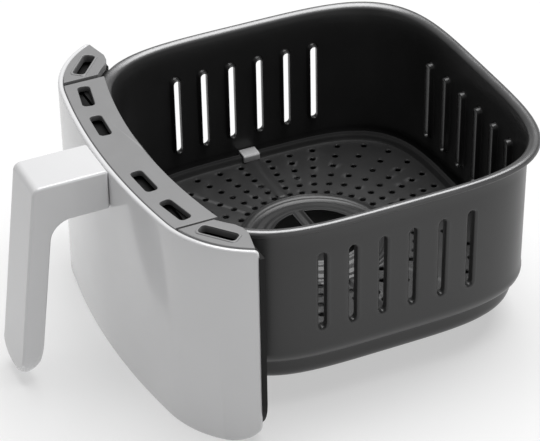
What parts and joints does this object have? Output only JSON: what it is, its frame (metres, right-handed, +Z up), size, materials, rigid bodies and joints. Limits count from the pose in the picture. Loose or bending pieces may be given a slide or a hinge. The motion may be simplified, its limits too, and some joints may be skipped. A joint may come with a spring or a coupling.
{
  "type": "air fryer basket drawer",
  "caption": "Pull-out air fryer drawer: slotted non-stick basket with lift-out crisper plate, curved front panel, vented top trim and L-shaped handle.",
  "frame": {"origin": "centre of the basket's flat underside", "axes": "+Z up, -Y out of the appliance towards the handle, +X to the right of someone looking along +Y"},
  "size_m": [0.2612, 0.3239, 0.1389],
  "materials": {
    "non_stick": "satin non-stick coating",
    "white_plastic": "glossy",
    "grey_plastic": "fine matt",
    "dark_plastic": "matt",
    "silicone": "satin silicone",
    "steel": "zinc-plated"
  },
  "bodies": {
    "drawer": {"basket_pan": "non_stick", "basket_bracket": "steel", "basket_rivet_upper_left": "steel", "basket_rivet_upper_right": "steel", "basket_rivet_lower_left": "steel", "basket_rivet_lower_right": "steel", "front_panel": "white_plastic", "rear_cover": "dark_plastic", "cover_screw_upper_left": "steel", "cover_screw_upper_right": "steel", "cover_screw_lower_left": "steel", "cover_screw_lower_right": "steel", "bracket_bolt_upper_left": "steel", "bracket_bolt_upper_right": "steel", "bracket_bolt_lower_left": "steel", "bracket_bolt_lower_right": "steel", "top_trim": "grey_plastic", "trim_end_left": "grey_plastic", "trim_end_right": "grey_plastic", "handle_outer_shell": "white_plastic", "handle_inner_lid": "white_plastic", "handle_core": "steel", "handle_backing_plate": "steel", "handle_screw_left": "steel", "handle_screw_right": "steel", "grip_screw_upper": "steel", "grip_screw_lower": "steel"},
    "crisper": {"crisper_plate": "non_stick", "plate_bumper_right": "silicone", "plate_bumper_back": "silicone", "plate_bumper_left": "silicone", "plate_bumper_front": "silicone"}
  },
  "joints": [
    {"name": "crisper_lift", "type": "slide", "parent": "drawer", "child": "crisper", "axis": [0, 0, 1], "range_m": [0, 0.13]}
  ]
}
